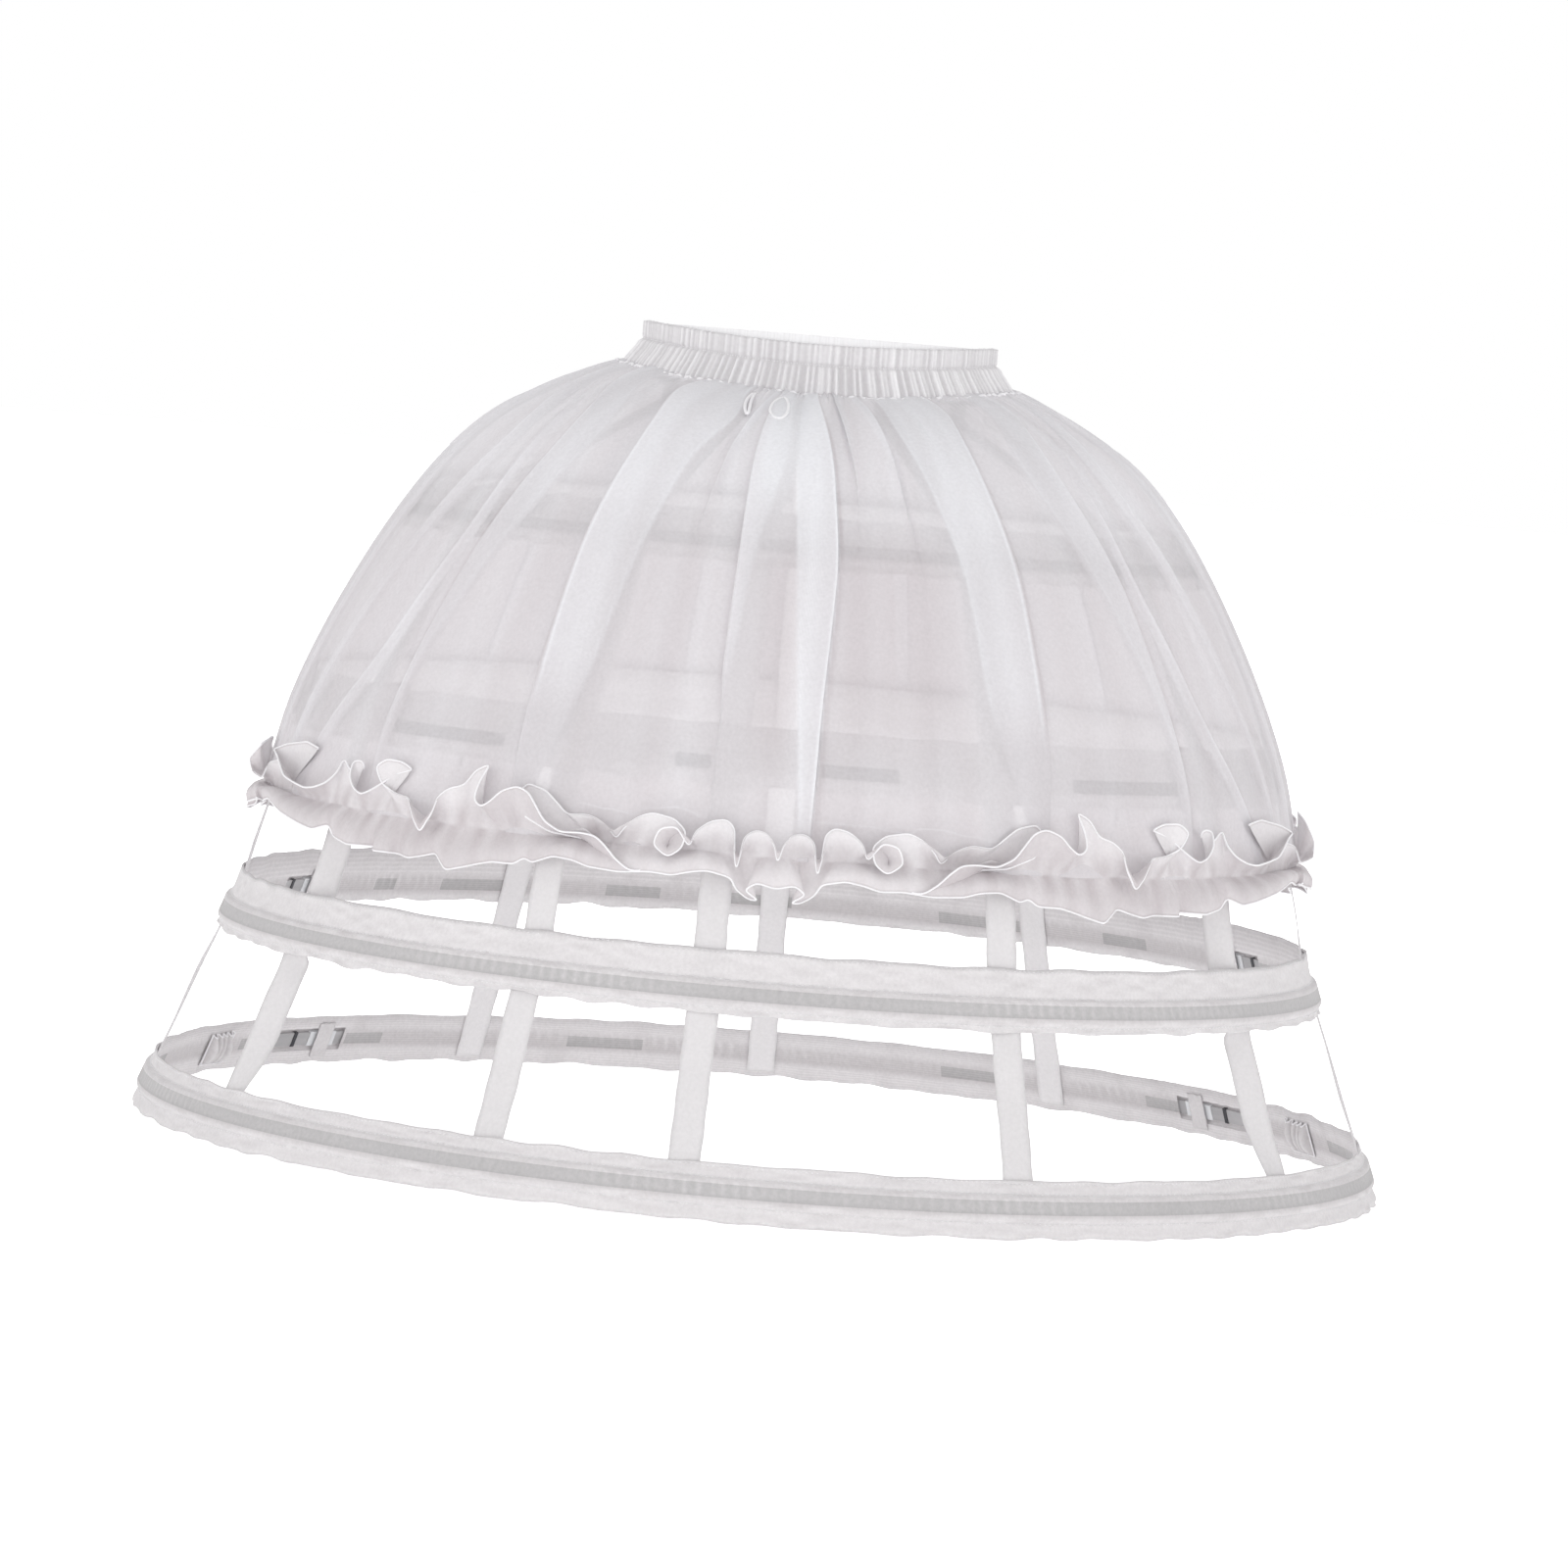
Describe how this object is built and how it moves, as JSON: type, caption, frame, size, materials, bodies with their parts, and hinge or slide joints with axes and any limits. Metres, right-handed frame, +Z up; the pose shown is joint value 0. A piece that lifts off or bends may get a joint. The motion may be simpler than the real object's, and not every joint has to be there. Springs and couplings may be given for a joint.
{
  "type": "crinoline cage",
  "caption": "Bell-shaped cage petticoat: flat hoop bones in cloth casings hung on tapes from an elastic waistband, under a short sheer gathered overskirt with a ruffled hem.",
  "frame": {"origin": "centre of the waist opening at the waistline, 20 mm below the waistband's top edge", "axes": "+Z up out of the waist opening, -Y towards the wearer's front, +X towards the wearer's left hand"},
  "size_m": [0.8322, 0.8321, 0.5424],
  "materials": {
    "waistband_cloth": "matt, gathered",
    "elastic": "matt, knitted",
    "sheer_cloth": "sheer, slight sheen",
    "casing_cloth": "matt, crinkled",
    "tape_cloth": "matt, woven",
    "hoop_strip": "satin grey coating",
    "connector_plastic": "milky, semi-clear",
    "crimp_steel": "dark"
  },
  "bodies": {
    "root": {"back_centre_tape": "tape_cloth", "back_left_tape": "tape_cloth", "back_right_tape": "tape_cloth", "front_centre_tape": "tape_cloth", "front_left_tape": "tape_cloth", "front_right_tape": "tape_cloth", "front_side_left_tape": "tape_cloth", "front_side_right_tape": "tape_cloth", "hem_frill": "sheer_cloth", "hem_hoop_back_bone": "hoop_strip", "hem_hoop_casing": "casing_cloth", "hem_hoop_front_bone": "hoop_strip", "hem_hoop_left_connector": "connector_plastic", "hem_hoop_left_crimp": "crimp_steel", "hem_hoop_left_ruche": "casing_cloth", "hem_hoop_left_tab": "casing_cloth", "hem_hoop_right_connector": "connector_plastic", "hem_hoop_right_crimp": "crimp_steel", "hem_hoop_right_ruche": "casing_cloth", "hem_hoop_right_tab": "casing_cloth", "lower_hoop_back_bone": "hoop_strip", "lower_hoop_casing": "casing_cloth", "lower_hoop_front_bone": "hoop_strip", "lower_hoop_left_connector": "connector_plastic", "lower_hoop_left_crimp": "crimp_steel", "lower_hoop_left_tab": "casing_cloth", "lower_hoop_right_connector": "connector_plastic", "lower_hoop_right_crimp": "crimp_steel", "lower_hoop_right_tab": "casing_cloth", "overskirt": "sheer_cloth", "side_left_tape": "tape_cloth", "side_right_tape": "tape_cloth", "top_hoop_back_bone": "hoop_strip", "top_hoop_casing": "casing_cloth", "top_hoop_front_bone": "hoop_strip", "top_hoop_left_connector": "connector_plastic", "top_hoop_left_crimp": "crimp_steel", "top_hoop_right_connector": "connector_plastic", "top_hoop_right_crimp": "crimp_steel", "upper_hoop_back_bone": "hoop_strip", "upper_hoop_casing": "casing_cloth", "upper_hoop_front_bone": "hoop_strip", "upper_hoop_left_connector": "connector_plastic", "upper_hoop_left_crimp": "crimp_steel", "upper_hoop_right_connector": "connector_plastic", "upper_hoop_right_crimp": "crimp_steel", "waist_elastic": "elastic", "waistband_casing": "waistband_cloth"}
  },
  "joints": []
}
